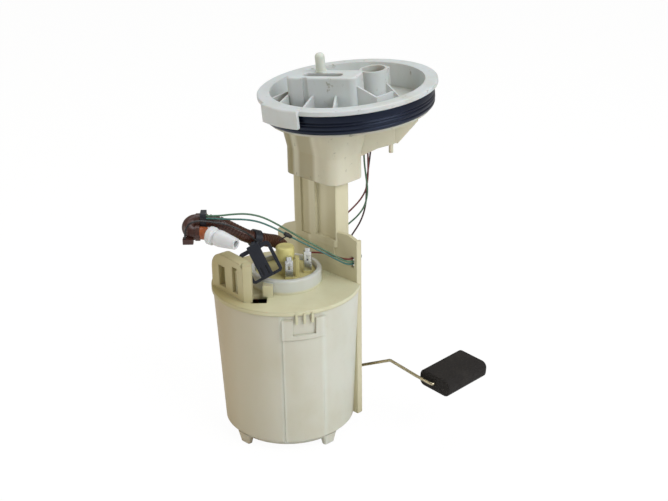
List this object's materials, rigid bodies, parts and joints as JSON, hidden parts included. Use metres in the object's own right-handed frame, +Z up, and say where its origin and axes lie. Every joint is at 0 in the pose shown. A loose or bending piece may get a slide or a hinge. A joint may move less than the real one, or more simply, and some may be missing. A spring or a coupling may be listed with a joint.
{
  "type": "fuel pump module",
  "caption": "In-tank fuel pump module: sealed tank flange on a column above a reservoir with an electric pump, formed hose, wires and a level sender whose float swings on a wire arm.",
  "frame": {"origin": "centre of the seat ring under the reservoir, on the plane of its feet", "axes": "+Z up along the reservoir and pump axis, -Y towards the hose holder side; the column stands off towards +X +Y, the float arm reaches towards +X -Y"},
  "size_m": [0.2339, 0.1746, 0.2969],
  "materials": {
    "reservoir_plastic": "satin, pale grey cream",
    "valve_rubber": "matt",
    "lid_plastic": "satin, pale cream",
    "column_plastic": "satin, ivory",
    "flange_plastic": "semi-gloss, milky white",
    "spigot_plastic": "semi-gloss, milky white",
    "seal_rubber": "glossy ribbed blue black",
    "contact_metal": "tinned",
    "pump_steel": "plated",
    "sleeve_rubber": "matt",
    "pump_cover_plastic": "satin, yellowish",
    "yellow_plastic": "satin",
    "pump_aluminium": "turned",
    "bearing_bronze": "sintered",
    "magnet_ceramic": "ground",
    "brush_carbon": "matt",
    "spring_steel": "drawn",
    "strainer_mesh": "woven",
    "clip_metal": "tinned sheet",
    "hose_rubber": "satin dark brown",
    "elbow_rubber": "satin dark brown",
    "hose_end_rubber": "satin orange brown",
    "white_plastic": "gloss",
    "dark_plastic": "satin blue black",
    "sender_plastic": "satin",
    "card_ceramic": "printed tracks",
    "hub_plastic": "satin",
    "arm_steel": "drawn wire",
    "float_foam": "closed-cell, fine grain",
    "shaft_steel": "ground",
    "armature_iron": "laminated",
    "commutator_copper": "turned",
    "impeller_plastic": "moulded",
    "wire_red": "satin",
    "wire_green": "satin",
    "wire_brown": "satin",
    "wire_teal": "satin",
    "wire_black": "satin"
  },
  "bodies": {
    "module": {"reservoir": "reservoir_plastic", "inlet_valve": "valve_rubber", "reservoir_lid": "lid_plastic", "column_bracket": "column_plastic", "flange": "flange_plastic", "tank_seal": "seal_rubber", "connector_pins": "contact_metal", "outlet_spigot": "spigot_plastic", "pump_casing": "pump_steel", "pump_sleeve": "sleeve_rubber", "pump_top_cover": "pump_cover_plastic", "relief_valve_cap": "yellow_plastic", "pump_bottom_cover": "pump_aluminium", "pump_chamber_plate": "pump_aluminium", "lower_bearing": "bearing_bronze", "upper_bearing": "bearing_bronze", "magnets": "magnet_ceramic", "brushes": "brush_carbon", "brush_springs": "spring_steel", "suction_strainer": "strainer_mesh", "pump_terminals": "contact_metal", "terminal_clip_left": "clip_metal", "terminal_clip_right": "clip_metal", "outlet_hose": "hose_rubber", "return_elbow": "elbow_rubber", "hose_end": "hose_end_rubber", "outlet_fitting": "white_plastic", "harness_clip": "dark_plastic", "hose_buckle": "dark_plastic", "sender_housing": "sender_plastic", "resistor_card": "card_ceramic", "pump_feed_wire": "wire_red", "signal_wire": "wire_green", "sender_wire": "wire_brown", "ground_wire": "wire_teal", "ground_lead": "wire_black"},
    "rotor": {"armature_shaft": "shaft_steel", "armature": "armature_iron", "commutator": "commutator_copper", "impeller": "impeller_plastic"},
    "float_lever": {"wiper_hub": "hub_plastic", "float_arm": "arm_steel"},
    "float_body": {"float": "float_foam"}
  },
  "joints": [
    {"name": "rotor_spin", "type": "hinge", "parent": "module", "child": "rotor", "pos_m": [0, 0, 0.06], "axis": [0, 0, 1], "continuous": true},
    {"name": "float_lever_swing", "type": "hinge", "parent": "module", "child": "float_lever", "pos_m": [0.04045, 0.0263, 0.0315], "axis": [-0.7071, -0.7071, 0], "range_deg": [-20, 45]},
    {"name": "float_tilt", "type": "hinge", "parent": "float_lever", "child": "float_body", "pos_m": [0.12162, -0.03677, 0.056], "axis": [-0.7071, -0.7071, 0], "range_deg": [-25, 25]}
  ]
}
